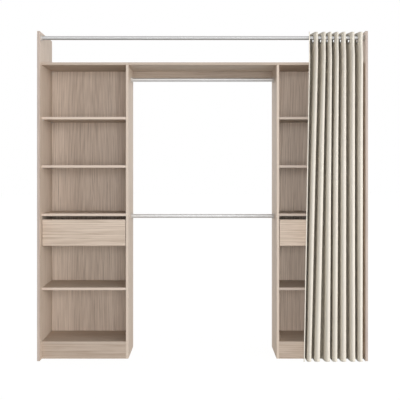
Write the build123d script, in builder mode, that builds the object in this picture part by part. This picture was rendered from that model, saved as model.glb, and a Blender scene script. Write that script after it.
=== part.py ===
import os
from math import asin, atan2, cos, degrees, dist, pi, radians, sin

from build123d import *

# Sizes are in millimetres. X runs to the right, Y to the back and Z up, and the floor is at zero.

# The whole wardrobe
overall_width = 2054
panel_depth = 500
board = 16
edge_ease = 0.8
centre_opening = 932
front_setback = 80
back_panel_thickness = 3
back_panel_rise = 20
cut_overrun = 1

# Heights of the boards' top faces. The curtain rod and the side panels rise over the top shelf.
top_shelf_top = 1864
upper_shelf_top = 1521
middle_shelf_top = 1217
drawer_shelf_top = 913
lower_shelf_top = 447
bottom_shelf_top = 108
rod_over_top_shelf = 147
panel_over_rod = 39
loose_shelf_gap = 0.5
back_rail_height = 62

# Shelf pins, dowels, cam fittings and screws. The small round ones are drawn with few sides.
fastener_sides = 6
pin_radius = 2.5
pin_in_board = 8
pin_out_of_board = 8
pin_inset = 45
pin_clearance = 0.1
dowel_radius = 4
dowel_length = 32
dowel_in_face = 10
dowel_clearance = 0.1
dowel_end_gap = 1
dowel_inset = 90
cam_radius = 7.5
cam_height = 12
cam_reach = 34
cam_bolt_radius = 3
cam_bolt_in_face = 10
cam_clearance = 0.1

# Rods and their sockets
rod_radius = 12.5
rod_wall = 1.2
rod_end_gap = 0.5
socket_bore_gap = 0.3
socket_wall = 3
socket_floor = 3
socket_length = 13
socket_flange_radius = 21
socket_flange = 3
socket_sides = 16
curtain_rod_setback = 39
upper_rod_under_shelf = 74
lower_rod_height = 888
hanging_rod_setback = 290

# Drawers
drawer_front_height = 165
drawer_finger_gap = 22
drawer_front_gap = 3
drawer_side_gap = 12.5
drawer_board = 12
drawer_side_height = 110
drawer_side_rise = 14
drawer_rear_gap = 54
drawer_bottom_thickness = 3
groove_depth = 6
groove_rise = 10
groove_clearance = 0.2
screw_radius = 2
screw_length = 30
screw_head_radius = 4
screw_head = 2
screw_clearance = 0.1
screw_inset = 25

# Roller runners, measured across the gap between cabinet and drawer
runner_sheet = 1.2
runner_channel_play = 1.8
runner_flange_play = 2.5
runner_foot_width = 9
runner_rail_gap = 0.8
runner_roller_bay = 36
roller_inset = 18
roller_radius = 11
roller_running_fit = 0.05
roller_track_gap = 0.3
roller_side_gap = 0.2
axle_radius = 2.5
axle_head_radius = 4
axle_head = 0.6
axle_head_play = 1.1

# Curtain
curtain_thickness = 1.2
curtain_over_rod = 32
curtain_header_under_rod = 39
curtain_bend_over_shelf = 21
curtain_floor_gap = 4
curtain_depth = 107
curtain_proud = 38
curtain_shelf_gap = 4
stack_gap_at_top = 33
stack_gap_at_hem = 36
stack_width_at_top = 322
stack_width_at_hem = 354
crest_shares_at_top = (0, 0.143, 0.294, 0.413, 0.542, 0.677, 0.842, 1)
crest_shares_at_hem = (0, 0.107, 0.248, 0.426, 0.557, 0.708, 0.870, 1)
crest_radius_share = 0.28
valley_radius_share = 0.17
leading_hem_radius = 9
leading_hem_angle = -100
last_hem_angle = -5
eyelet_sides = 10
eyelet_inner_radius = 20
eyelet_barrel_wall = 1.2
eyelet_outer_radius = 28
eyelet_flange = 1.6
eyelet_cloth_gap = 0.1
eyelet_hole_gap = 0.4
eyelet_rod_gap = 0.3

# Places worked out from the sizes above. Y is zero at the middle of the whole depth.
front = (curtain_proud - panel_depth - back_panel_thickness) / 2
inner_front = front + front_setback
rear = front + panel_depth
half_width = overall_width / 2
inner_half = half_width - board
upright_inner = centre_opening / 2
upright_outer = upright_inner + board
column_width = inner_half - upright_outer
column_centre = (inner_half + upright_outer) / 2
shelf_depth = rear - inner_front
top_shelf_bottom = top_shelf_top - board
curtain_rod_height = top_shelf_top + rod_over_top_shelf
overall_height = curtain_rod_height + panel_over_rod
upper_rod_height = top_shelf_bottom - upper_rod_under_shelf
drawer_front_top = drawer_shelf_top - board - drawer_finger_gap
drawer_front_bottom = drawer_front_top - drawer_front_height
drawer_side_bottom = drawer_front_bottom + drawer_side_rise
drawer_box_front = inner_front + board
drawer_box_half = column_width / 2 - drawer_side_gap
drawer_length = rear - drawer_box_front - drawer_rear_gap

SIDES = (("left", -1), ("right", 1))
LOOSE_SHELVES = {"upper": upper_shelf_top, "middle": middle_shelf_top, "lower": lower_shelf_top}
FIXED_SHELVES = {"drawer": drawer_shelf_top, "bottom": bottom_shelf_top}

os.makedirs("parts", exist_ok=True)


def save(piece, name):
    """Labels a finished piece and writes it to its own file."""
    piece.part.label = name
    export_step(piece.part, f"parts/{name}.step")


def looking_along_x(x, y, z, way):
    """A plane at a point, facing along X to the right (way 1) or to the left (way -1)."""
    return Plane((x, y, z), x_dir=(0, 1, 0), z_dir=(way, 0, 0))


# Boards that stand upright carry the holes for pins, dowels and cam bolts.
pin_places = [
    (y, top - board - pin_radius)
    for top in LOOSE_SHELVES.values()
    for y in (inner_front + pin_inset, rear - pin_inset)
]
dowel_depths = (inner_front + dowel_inset, rear - dowel_inset)
cam_y = (inner_front + rear) / 2
fixed_board_middles = [top - board / 2 for top in FIXED_SHELVES.values()]
top_shelf_middle = top_shelf_top - board / 2
back_rail_y = rear - board / 2
back_rail_dowel_height = top_shelf_bottom - back_rail_height / 2


def small_round(radius):
    """The few-sided outline of a small round thing, with a corner straight up."""
    RegularPolygon(radius, fastener_sides, rotation=90)


def large_round(radius, sides, mode=Mode.ADD):
    """The outline of a socket's or an eyelet's ring. A flat is straight up, and the radius is to a flat."""
    RegularPolygon(radius, sides, major_radius=False, rotation=180 / sides, mode=mode)


def bore_face(x, way, places, radius, depth):
    """Blind holes at (y, z) places into a board's face that looks along X."""
    with BuildSketch(*[looking_along_x(x, y, z, way) for y, z in places]) as mouths:
        small_round(radius)
    extrude(mouths.sketch, amount=-depth, mode=Mode.SUBTRACT)


def pegs(planes, radius, length):
    """A group of equal pegs that start on planes and stand along their normals."""
    with BuildPart() as group:
        with BuildSketch(*planes):
            small_round(radius)
        extrude(amount=length)
    return group


def screws(planes, shank_length):
    """A group of equal screws with the undersides of their heads on planes that face as the heads do."""
    with BuildPart() as group:
        with BuildSketch(*planes):
            small_round(screw_head_radius)
        extrude(amount=screw_head)
        with BuildSketch(*planes):
            small_round(screw_radius)
        extrude(amount=-shank_length)
    return group


def bore_for_column(x, way, middles):
    """The holes that one column needs in the board beside it: shelf pins, dowels and cam bolts."""
    bore_face(x, way, pin_places, pin_radius + pin_clearance, pin_in_board)
    dowel_places = [(y, z) for z in middles for y in dowel_depths]
    bore_face(x, way, dowel_places, dowel_radius + dowel_clearance, dowel_in_face + dowel_end_gap)
    cam_places = [(cam_y, z) for z in middles]
    bore_face(x, way, cam_places, cam_bolt_radius + cam_clearance, cam_bolt_in_face)


def upright_board(x_faces, y_front, z_top):
    """A standing board down to the floor, with its two long front edges eased."""
    x_low, x_high = sorted(x_faces)
    with BuildPart() as piece:
        with BuildSketch(Plane.XY):
            with Locations(((x_low + x_high) / 2, (y_front + rear) / 2)):
                Rectangle(x_high - x_low, rear - y_front)
        extrude(amount=z_top)
        chamfer(piece.edges().filter_by(Axis.Z).group_by(Axis.Y)[0], edge_ease)
    return piece.part


# Outer side panels
dowel_bore_radius = dowel_radius + dowel_clearance
for side, way in SIDES:
    inner_face = way * inner_half
    blank = upright_board((inner_face, way * half_width), front, overall_height)
    with BuildPart() as side_panel:
        add(blank)
        bore_for_column(inner_face, -way, fixed_board_middles + [top_shelf_middle])
    save(side_panel, f"{side}_side_panel")

# Inner uprights, under the top shelf
dowel_face_bore = dowel_in_face + dowel_end_gap
dowel_end_bore = dowel_length - dowel_in_face + dowel_end_gap
rail_place = (back_rail_y, back_rail_dowel_height)
for side, way in SIDES:
    middle_face = way * upright_inner
    column_face = way * upright_outer
    blank = upright_board((middle_face, column_face), inner_front, top_shelf_bottom)
    with BuildPart() as upright:
        add(blank)
        bore_for_column(column_face, way, fixed_board_middles)
        bore_face(middle_face, -way, [rail_place], dowel_bore_radius, dowel_face_bore)
        with BuildSketch(Plane.XY.offset(top_shelf_bottom)):
            with Locations(*[(way * (upright_inner + board / 2), y) for y in dowel_depths]):
                small_round(dowel_bore_radius)
        extrude(amount=-dowel_end_bore, mode=Mode.SUBTRACT)
    save(upright, f"{side}_upright")


def flat_board(x_low, x_high, z_top):
    """A lying board from the inner front line to the rear, with its two long front edges eased."""
    with BuildPart() as piece:
        with BuildSketch(Plane.XY.offset(z_top - board)):
            with Locations(((x_low + x_high) / 2, (inner_front + rear) / 2)):
                Rectangle(x_high - x_low, shelf_depth)
        extrude(amount=board)
        chamfer(piece.edges().filter_by(Axis.X).group_by(Axis.Y)[0], edge_ease)
    return piece.part


def bore_fixed_end(x, way, z_top):
    """Dowel holes, the cam bolt's channel and the cam's pocket at an end of a fixed board."""
    middle = z_top - board / 2
    places = [(y, middle) for y in dowel_depths]
    bore_face(x, way, places, dowel_bore_radius, dowel_end_bore)
    bore_face(x, way, [(cam_y, middle)], cam_bolt_radius + cam_clearance, cam_reach)
    with BuildSketch(Plane((x - way * cam_reach, cam_y, z_top - board))) as pocket:
        small_round(cam_radius + cam_clearance)
    extrude(pocket.sketch, amount=cam_height, mode=Mode.SUBTRACT)


# The top shelf runs over both uprights, between the outer panels.
top_blank = flat_board(-inner_half, inner_half, top_shelf_top)
with BuildPart() as top_shelf:
    add(top_blank)
    for side, way in SIDES:
        bore_fixed_end(way * inner_half, way, top_shelf_top)
        with BuildSketch(Plane.XY.offset(top_shelf_bottom)):
            with Locations(*[(way * (upright_inner + board / 2), y) for y in dowel_depths]):
                small_round(dowel_bore_radius)
        extrude(amount=dowel_face_bore, mode=Mode.SUBTRACT)
save(top_shelf, "top_shelf")

# Fixed shelves touch the boards beside them, and loose ones have a small gap.
for side, way in SIDES:
    x_low = min(way * upright_outer, way * inner_half)
    x_high = max(way * upright_outer, way * inner_half)
    for name, top in FIXED_SHELVES.items():
        blank = flat_board(x_low, x_high, top)
        with BuildPart() as shelf:
            add(blank)
            bore_fixed_end(x_low, -1, top)
            bore_fixed_end(x_high, 1, top)
        save(shelf, f"{side}_{name}_shelf")
    for name, top in LOOSE_SHELVES.items():
        with BuildPart() as shelf:
            add(flat_board(x_low + loose_shelf_gap, x_high - loose_shelf_gap, top))
        save(shelf, f"{side}_{name}_shelf")

# Plinth boards close the front under the bottom shelves.
for side, way in SIDES:
    with BuildPart() as plinth:
        with BuildSketch(Plane.XY):
            with Locations((way * column_centre, inner_front + board / 2)):
                Rectangle(column_width, board)
        extrude(amount=bottom_shelf_top - board)
        chamfer(plinth.edges().filter_by(Axis.X).group_by(Axis.Y)[0], edge_ease)
    save(plinth, f"{side}_plinth")

# Thin back panels lie on the rear edges of the columns.
for side, way in SIDES:
    with BuildPart() as back_panel:
        with BuildSketch(Plane.XY.offset(back_panel_rise)):
            with Locations((way * (upright_inner + half_width) / 2, rear + back_panel_thickness / 2)):
                Rectangle(half_width - upright_inner, back_panel_thickness)
        extrude(amount=top_shelf_top - back_panel_rise)
    save(back_panel, f"{side}_back_panel")

# The rail at the back of the centre bay, under the top shelf
with BuildPart() as back_rail:
    with BuildSketch(Plane.XY.offset(top_shelf_bottom - back_rail_height)):
        with Locations((0, back_rail_y)):
            Rectangle(centre_opening, board)
    extrude(amount=back_rail_height)
    for side, way in SIDES:
        bore_face(way * upright_inner, way, [rail_place], dowel_bore_radius, dowel_end_bore)
save(back_rail, "back_rail")

# Shelf pins stand half in the board and half under the shelf.
pin_length = pin_in_board + pin_out_of_board
pin_planes = []
for side, way in SIDES:
    for x, inward in ((way * inner_half, -way), (way * upright_outer, way)):
        pin_planes += [looking_along_x(x - inward * pin_in_board, y, z, inward) for y, z in pin_places]
save(pegs(pin_planes, pin_radius, pin_length), "shelf_pins")

# Dowels cross each fixed joint, short end in the face and long end in the edge.
fixed_ends = []
for side, way in SIDES:
    fixed_ends.append((way * inner_half, -way, top_shelf_middle))
    for middle in fixed_board_middles:
        fixed_ends.append((way * inner_half, -way, middle))
        fixed_ends.append((way * upright_outer, way, middle))
dowel_planes = [
    looking_along_x(x - inward * dowel_in_face, y, middle, inward)
    for x, inward, middle in fixed_ends
    for y in dowel_depths
]
for side, way in SIDES:
    start = way * (upright_inner + dowel_in_face)
    dowel_planes.append(looking_along_x(start, back_rail_y, back_rail_dowel_height, -way))
    dowel_planes += [
        Plane.XY.offset(top_shelf_bottom + dowel_in_face - dowel_length)
        * Location((way * (upright_inner + board / 2), y, 0))
        for y in dowel_depths
    ]
save(pegs(dowel_planes, dowel_radius, dowel_length), "dowels")

# Cam bolts stand in the faces and reach the cams, which turn in pockets under the fixed boards.
cam_bolt_planes = [
    looking_along_x(x - inward * cam_bolt_in_face, cam_y, middle, inward)
    for x, inward, middle in fixed_ends
]
save(pegs(cam_bolt_planes, cam_bolt_radius, cam_bolt_in_face + cam_reach - cam_radius), "cam_bolts")

cam_planes = [
    Plane((x + inward * cam_reach, cam_y, middle - board / 2)) for x, inward, middle in fixed_ends
]
save(pegs(cam_planes, cam_radius, cam_height), "cams")


# Rods are tubes whose ends stand in cup sockets.
def rod_between(half_span, y, z):
    """A tube along X between two sockets whose flanges are at plus and minus half_span."""
    start = -half_span + socket_floor + rod_end_gap
    with BuildPart() as rod:
        with BuildSketch(Plane((start, y, z), x_dir=(0, 1, 0), z_dir=(1, 0, 0))):
            Circle(rod_radius)
            large_round(rod_radius - rod_wall, socket_sides, Mode.SUBTRACT)
        extrude(amount=2 * abs(start))
    return rod


# A socket as it lies with its flange on the YZ plane and its mouth towards plus X
socket_bore = rod_radius + socket_bore_gap
with BuildPart() as socket:
    with BuildSketch(Plane.YZ):
        large_round(socket_flange_radius, socket_sides)
    extrude(amount=socket_flange)
    with BuildSketch(Plane.YZ):
        large_round(socket_bore + socket_wall, socket_sides)
    extrude(amount=socket_length)
    with BuildSketch(Plane.YZ.offset(socket_floor)):
        large_round(socket_bore, socket_sides)
    extrude(amount=socket_length - socket_floor, mode=Mode.SUBTRACT)

curtain_rod_y = front + curtain_rod_setback
hanging_rod_y = front + hanging_rod_setback
RODS = {
    "curtain_rod": (inner_half, curtain_rod_y, curtain_rod_height),
    "upper_hanging_rod": (upright_inner, hanging_rod_y, upper_rod_height),
    "lower_hanging_rod": (upright_inner, hanging_rod_y, lower_rod_height),
}


for name, (half_span, y, z) in RODS.items():
    save(rod_between(half_span, y, z), name)
    # The right socket is turned half round about Z, so that both mouths look to the middle.
    seats = [Location((way * half_span, y, z), (0, 0, 90 + 90 * way)) for side, way in SIDES]
    with BuildPart() as sockets:
        with Locations(*seats):
            add(socket.part)
    save(sockets, f"{name}_sockets")


# Drawers: each box is four boards round a thin bottom that lies in grooves.
groove_height = drawer_bottom_thickness + groove_clearance
groove_bottom = drawer_side_bottom + groove_rise
box_inner_half = drawer_box_half - drawer_board
box_back_front = drawer_box_front + drawer_length - drawer_board
box_back_bottom = groove_bottom + groove_height
drawer_side_middle = drawer_side_bottom + drawer_side_height / 2
screw_bore_radius = screw_radius + screw_clearance
screw_rows = (drawer_side_middle - screw_inset, drawer_side_middle + screw_inset)


def groove_block(x_low, x_high, y_low, y_high):
    """The groove for the drawer bottom, cut over a stretch in plan."""
    with BuildSketch(Plane.XY.offset(groove_bottom)) as plan:
        with Locations(((x_low + x_high) / 2, (y_low + y_high) / 2)):
            Rectangle(x_high - x_low, y_high - y_low)
    extrude(plan.sketch, amount=groove_height, mode=Mode.SUBTRACT)


def build_drawer(side, centre):
    """The five boards of one drawer and the screws that hold its back."""
    front_half = column_width / 2 - drawer_front_gap
    back_middle = box_back_front + drawer_board / 2
    screw_places = [(back_middle, z) for z in screw_rows]
    with BuildPart() as drawer_front:
        with BuildSketch(Plane.XY.offset(drawer_front_bottom)):
            with Locations((centre, inner_front + board / 2)):
                Rectangle(2 * front_half, board)
        extrude(amount=drawer_front_height)
        chamfer(drawer_front.edges().group_by(Axis.Y)[0], edge_ease)
        groove_block(
            centre - box_inner_half - groove_depth,
            centre + box_inner_half + groove_depth,
            drawer_box_front - groove_depth,
            drawer_box_front + cut_overrun,
        )
    save(drawer_front, f"{side}_drawer_front")

    for hand, way in SIDES:
        outer = centre + way * drawer_box_half
        inner = centre + way * box_inner_half
        with BuildPart() as drawer_side:
            with BuildSketch(Plane.XY.offset(drawer_side_bottom)):
                with Locations(((outer + inner) / 2, drawer_box_front + drawer_length / 2)):
                    Rectangle(drawer_board, drawer_length)
            extrude(amount=drawer_side_height)
            groove_low, groove_high = sorted((inner - way * cut_overrun, inner + way * groove_depth))
            groove_block(groove_low, groove_high, drawer_box_front, drawer_box_front + drawer_length)
            bore_face(outer, way, screw_places, screw_bore_radius, drawer_board)
            bore_face(outer, way, screw_places, screw_head_radius + screw_clearance, screw_head)
        save(drawer_side, f"{side}_drawer_{hand}_side")

    with BuildPart() as drawer_back:
        with BuildSketch(Plane.XY.offset(box_back_bottom)):
            with Locations((centre, back_middle)):
                Rectangle(2 * box_inner_half, drawer_board)
        extrude(amount=drawer_side_bottom + drawer_side_height - box_back_bottom)
        for hand, way in SIDES:
            bore_depth = screw_length - drawer_board
            bore_face(centre + way * box_inner_half, way, screw_places, screw_bore_radius, bore_depth)
    save(drawer_back, f"{side}_drawer_back")

    bottom_half = box_inner_half + groove_depth - groove_clearance
    bottom_front = drawer_box_front - groove_depth + groove_clearance
    bottom_rear = drawer_box_front + drawer_length
    with BuildPart() as drawer_bottom:
        with BuildSketch(Plane.XY.offset(groove_bottom)):
            with Locations((centre, (bottom_front + bottom_rear) / 2)):
                Rectangle(2 * bottom_half, bottom_rear - bottom_front)
        extrude(amount=drawer_bottom_thickness)
    save(drawer_bottom, f"{side}_drawer_bottom")

    screw_planes = [
        looking_along_x(centre + way * (drawer_box_half - screw_head), y, z, way)
        for hand, way in SIDES
        for y, z in screw_places
    ]
    save(screws(screw_planes, screw_length - screw_head), f"{side}_drawer_screws")


# Widths in the gap beside the drawer: what is left of it when the sheets and the play are taken off
runner_channel_width = drawer_side_gap - runner_sheet - runner_channel_play
runner_flange_width = drawer_side_gap - runner_flange_play
roller_room = drawer_side_gap - 2 * runner_sheet - axle_head - axle_head_play
roller_width = roller_room - 2 * roller_side_gap

# Runner heights, from the bottom edge of the drawer side upwards
track = drawer_side_bottom
channel_bottom = track - runner_sheet
channel_top = track + 2 * roller_radius + 2 * roller_track_gap + runner_sheet
rail_flange_bottom = channel_top + runner_rail_gap
rail_flange_top = rail_flange_bottom + runner_sheet
front_roller_height = rail_flange_bottom - roller_track_gap - roller_radius
rear_roller_height = track + roller_track_gap + roller_radius
front_roller_y = drawer_box_front + roller_inset
rear_roller_y = drawer_box_front + drawer_length - roller_inset


def box_between(x_ends, y_ends, z_ends):
    """A sheet-metal flat as a box between pairs of faces."""
    x_low, x_high = sorted(x_ends)
    y_low, y_high = sorted(y_ends)
    with BuildSketch(Plane.XY.offset(min(z_ends))) as plan:
        with Locations(((x_low + x_high) / 2, (y_low + y_high) / 2)):
            Rectangle(x_high - x_low, y_high - y_low)
    extrude(plan.sketch, amount=max(z_ends) - min(z_ends))


def axle(x, way, y, z):
    """A riveted axle that stands out of a runner's web at x: a round journal and its head."""
    journal_length = roller_width + 2 * roller_side_gap
    with BuildSketch(looking_along_x(x, y, z, way)) as journal:
        Circle(axle_radius)
    extrude(journal.sketch, amount=journal_length)
    with BuildSketch(looking_along_x(x + way * journal_length, y, z, way)) as head:
        small_round(axle_head_radius)
    extrude(head.sketch, amount=axle_head)


def roller_pair(centre, reach, inward, y, z):
    """Two rollers on one line. Each starts at a reach from the centre and runs inward, or outward at -1."""
    with BuildPart() as rollers:
        for hand, way in SIDES:
            start = centre + way * reach
            with BuildSketch(looking_along_x(start, y, z, -way * inward)):
                Circle(roller_radius)
                Circle(axle_radius + roller_running_fit, mode=Mode.SUBTRACT)
            extrude(amount=roller_width)
    return rollers


def build_runners(side, centre):
    """Channels on the cabinet, rails on the drawer, and a roller on each."""
    y_front = drawer_box_front
    y_rear = drawer_box_front + drawer_length
    with BuildPart() as cabinet_runners:
        for hand, way in SIDES:
            wall = centre + way * column_width / 2
            web = wall - way * runner_sheet
            lip = wall - way * runner_channel_width
            box_between((wall, web), (y_front, y_rear), (channel_bottom, channel_top))
            box_between((wall, lip), (y_front, y_rear), (channel_bottom, track))
            top_lip = (channel_top - runner_sheet, channel_top)
            box_between((wall, lip), (y_front + runner_roller_bay, y_rear), top_lip)
            axle(web, -way, front_roller_y, front_roller_height)
    save(cabinet_runners, f"{side}_cabinet_runners")

    with BuildPart() as drawer_runners:
        for hand, way in SIDES:
            box_face = centre + way * drawer_box_half
            web = box_face + way * runner_sheet
            box_between((box_face, web), (y_front, y_rear), (channel_bottom, rail_flange_top))
            foot = box_face - way * runner_foot_width
            box_between((foot, web), (y_front, y_rear), (channel_bottom, track))
            flange = box_face + way * runner_flange_width
            box_between((box_face, flange), (y_front, y_rear), (rail_flange_bottom, rail_flange_top))
            axle(web, way, rear_roller_y, rear_roller_height)
    save(drawer_runners, f"{side}_drawer_runners")

    on_cabinet = column_width / 2 - runner_sheet - roller_side_gap
    on_drawer = drawer_box_half + runner_sheet + roller_side_gap
    cabinet_rollers = roller_pair(centre, on_cabinet, 1, front_roller_y, front_roller_height)
    drawer_rollers = roller_pair(centre, on_drawer, -1, rear_roller_y, rear_roller_height)
    save(cabinet_rollers, f"{side}_cabinet_rollers")
    save(drawer_rollers, f"{side}_drawer_rollers")


for side, way in SIDES:
    build_drawer(side, way * column_centre)
    build_runners(side, way * column_centre)


# The curtain hangs in folds, drawn to the right. Its levels follow the rod and the top shelf.
curtain_top = curtain_rod_height + curtain_over_rod
curtain_header_bottom = curtain_rod_height - curtain_header_under_rod
curtain_shelf_level = top_shelf_top + curtain_bend_over_shelf
stack_right_at_top = inner_half - stack_gap_at_top
stack_right_at_hem = inner_half - stack_gap_at_hem
stack_left_at_top = stack_right_at_top - stack_width_at_top
stack_left_at_hem = stack_right_at_hem - stack_width_at_hem


# The cloth's centre line in plan goes round a circle at each crest and valley.
def crest_places(height):
    """The X of the leading hem and the crests at a height. The header hangs straight under the rod."""
    fall_share = max(0, curtain_header_bottom - height) / (curtain_header_bottom - curtain_floor_gap)
    left = stack_left_at_top + (stack_left_at_hem - stack_left_at_top) * fall_share
    right = stack_right_at_top + (stack_right_at_hem - stack_right_at_top) * fall_share
    places = []
    for top_share, hem_share in zip(crest_shares_at_top, crest_shares_at_hem):
        crest_share = top_share + (hem_share - top_share) * fall_share
        places.append(left + (right - left) * crest_share)
    return places


def fold_circles(height, front_tip):
    """Each circle that the cloth goes round, as (centre x, centre y, radius, side), front ones side 1."""
    crests = crest_places(height)
    valleys = [(a + b) / 2 for a, b in zip(crests, crests[1:])]
    outside = curtain_thickness / 2
    circles = []
    # The last crest is as wide to its right as to its left.
    valleys_on_right = valleys + [2 * crests[-1] - valleys[-1]]
    for n, crest in enumerate(crests):
        spacing = valleys_on_right[n] - valleys[n - 1]
        radius = crest_radius_share * spacing if n > 0 else leading_hem_radius
        circles.append((crest, front_tip + outside + radius, radius, 1))
        if n < len(valleys):
            radius = valley_radius_share * (crests[n + 1] - crest)
            circles.append((valleys[n], front_tip + curtain_depth - outside - radius, radius, -1))
    return circles


def leg_angle(a, b):
    """The direction, in radians, of the straight leg of cloth between two circles that it goes round."""
    lean = asin((a[3] * a[2] - b[3] * b[2]) / dist(a[:2], b[:2]))
    return atan2(b[1] - a[1], b[0] - a[0]) + lean


def around(circle, angle, face):
    """A point on a face of the cloth where it goes round a circle. Face 1 is the left one on the way."""
    x, y, radius, turn = circle
    reach = radius - turn * face * curtain_thickness / 2
    return (x + reach * cos(angle), y + reach * sin(angle))


def fold_section(height, front_tip):
    """The cloth's closed outline in plan at a height, made of its two faces and its two ends."""
    circles = fold_circles(height, front_tip)
    legs = [leg_angle(a, b) for a, b in zip(circles, circles[1:])]
    # The cloth meets and leaves a circle a quarter turn from its legs.
    starts = [radians(leading_hem_angle)] + [leg - c[3] * pi / 2 for leg, c in zip(legs, circles[1:])]
    ends = [leg - c[3] * pi / 2 for leg, c in zip(legs, circles)] + [radians(last_hem_angle)]
    turns = list(zip(circles, starts, ends))
    with BuildSketch(Plane.XY.offset(height)) as section:
        with BuildLine():
            first = []
            last = []
            for face in (1, -1):
                pen = None
                for circle, start, end in turns:
                    points = [around(circle, a, face) for a in (start, (start + end) / 2, end)]
                    if pen is None:
                        first.append(points[0])
                    else:
                        Line(pen, points[0])
                    ThreePointArc(*points)
                    pen = points[2]
                last.append(pen)
            Line(*first)
            Line(*last)
        make_face()
    return section.sketch


# The folds are centred on the rod at the top, and lower down they hang in front of the shelves.
header_tip = curtain_rod_y - curtain_depth / 2
shelf_tip = inner_front - curtain_shelf_gap - curtain_depth
hem_tip = front - curtain_proud
fold_levels = (
    (curtain_top, header_tip),
    (curtain_header_bottom, header_tip),
    (curtain_shelf_level, shelf_tip),
    (curtain_floor_gap, hem_tip),
)

# An eyelet hangs on the rod by the flat at the top of its bore, with a small gap.
eyelet_height = curtain_rod_height + rod_radius + eyelet_rod_gap - eyelet_inner_radius
eyelet_barrel = eyelet_inner_radius + eyelet_barrel_wall

sections = [fold_section(height, tip) for height, tip in fold_levels]
with BuildPart() as curtain_fabric:
    loft(sections=sections, ruled=True)
    hole_start = stack_left_at_top - stack_width_at_top
    with BuildSketch(Plane((hole_start, curtain_rod_y, eyelet_height), x_dir=(0, 1, 0), z_dir=(1, 0, 0))):
        large_round(eyelet_barrel + eyelet_hole_gap, eyelet_sides)
    extrude(amount=3 * stack_width_at_top, mode=Mode.SUBTRACT)
save(curtain_fabric, "curtain_fabric")

# An eyelet is a short barrel with a flange on each side of the cloth. Here its axis lies along X.
flange_near = curtain_thickness / 2 + eyelet_cloth_gap
flange_far = flange_near + eyelet_flange
eyelet_rings = (
    (-flange_far, eyelet_outer_radius, eyelet_flange),
    (-flange_near, eyelet_barrel, 2 * flange_near),
    (flange_near, eyelet_outer_radius, eyelet_flange),
)
with BuildPart() as eyelet:
    for start, radius, thickness in eyelet_rings:
        with BuildSketch(Plane.YZ.offset(start)):
            large_round(radius, eyelet_sides)
        extrude(amount=thickness)
    with BuildSketch(Plane.YZ.offset(-flange_far)):
        large_round(eyelet_inner_radius, eyelet_sides)
    extrude(amount=2 * flange_far, mode=Mode.SUBTRACT)

# One eyelet sits square on each leg of the cloth, where the leg crosses the rod.
header_circles = fold_circles(curtain_top, header_tip)
eyelet_places = []
for a, b in zip(header_circles, header_circles[1:]):
    angle = leg_angle(a, b)
    side_angle = angle - pi / 2
    start_x = a[0] + a[3] * a[2] * cos(side_angle)
    start_y = a[1] + a[3] * a[2] * sin(side_angle)
    x = start_x + (curtain_rod_y - start_y) * cos(angle) / sin(angle)
    eyelet_places.append(Location((x, curtain_rod_y, eyelet_height), (0, 0, degrees(side_angle))))
with BuildPart() as curtain_eyelets:
    with Locations(*eyelet_places):
        add(eyelet.part)
save(curtain_eyelets, "curtain_eyelets")

flat_width = 0
for a, b in zip(header_circles, header_circles[1:]):
    reach_squared = dist(a[:2], b[:2]) ** 2 - (a[3] * a[2] - b[3] * b[2]) ** 2
    flat_width += reach_squared**0.5 + pi * a[2]
print("curtain's flat width about", round(flat_width), "mm, eyelets", len(eyelet_places))
print("front edge of the panels at y", front, "inner front", inner_front, "rear", rear)
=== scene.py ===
# %% [markdown]
# # Dressing a curtain wardrobe
#
# The wardrobe arrives as a finished construction: boards, rods, runners, drawers and a plain curtain,
# each piece in its real place. This lesson gives it its looks. The boards keep their shape and get a
# printed oak surface. The curtain, its eyelets, the rod sockets and the shelf pins are made anew as
# finer meshes that stand exactly where the construction says.

# %% Load the construction
from math import asin, atan2, cos, dist, pi, radians, sin

import bmesh
import bpy
from mathutils import Matrix, Vector, noise


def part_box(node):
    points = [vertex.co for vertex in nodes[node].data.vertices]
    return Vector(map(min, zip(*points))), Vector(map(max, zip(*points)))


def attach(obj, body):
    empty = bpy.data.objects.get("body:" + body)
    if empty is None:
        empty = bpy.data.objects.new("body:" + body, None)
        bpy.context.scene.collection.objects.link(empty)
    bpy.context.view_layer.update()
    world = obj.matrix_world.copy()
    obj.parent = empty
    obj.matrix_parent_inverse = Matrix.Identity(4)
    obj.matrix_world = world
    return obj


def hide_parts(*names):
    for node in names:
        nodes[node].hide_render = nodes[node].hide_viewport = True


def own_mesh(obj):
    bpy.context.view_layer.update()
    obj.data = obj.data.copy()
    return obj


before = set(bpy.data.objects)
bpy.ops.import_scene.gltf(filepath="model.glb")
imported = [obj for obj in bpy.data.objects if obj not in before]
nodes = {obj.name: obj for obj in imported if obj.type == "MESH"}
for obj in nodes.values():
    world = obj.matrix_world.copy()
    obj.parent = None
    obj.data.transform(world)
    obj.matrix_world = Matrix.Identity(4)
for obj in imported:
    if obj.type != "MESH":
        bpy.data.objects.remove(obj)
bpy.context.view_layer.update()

# %% [markdown]
# ## Reading sizes from the construction
#
# Every piece is placed from the boxes of the pieces that carry it, in metres. A size that the
# construction doesn't tell is written in millimetres and turned into metres by one value.

# %% Places that several steps use
mm = 0.001


def middle(node):
    """The middle of a piece's box."""
    low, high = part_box(node)
    return (low + high) / 2


shelf_low, shelf_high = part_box("top_shelf")
curtain_low, curtain_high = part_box("curtain_fabric")
curtain_rod = middle("curtain_rod")
rod_radius = (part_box("curtain_rod")[1].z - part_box("curtain_rod")[0].z) / 2
inner_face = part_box("right_side_panel")[0].x
upright_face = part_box("right_upright")[1].x
shelf_front = shelf_low.y
rear = shelf_high.y
print("curtain rod at", [round(a, 4) for a in curtain_rod], "inner face", round(inner_face, 4))

# %% [markdown]
# ## The camera
#
# The photograph is taken square to the front, from a little over six metres, at chest height. Its
# vanishing point lies above the middle of the picture, so the camera looks straight ahead and its lens
# is shifted down, as on a view camera. That keeps every upright edge parallel. Lens, shift and distance
# were matched together, until the boards' front and rear edges met those of the photograph.

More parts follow.
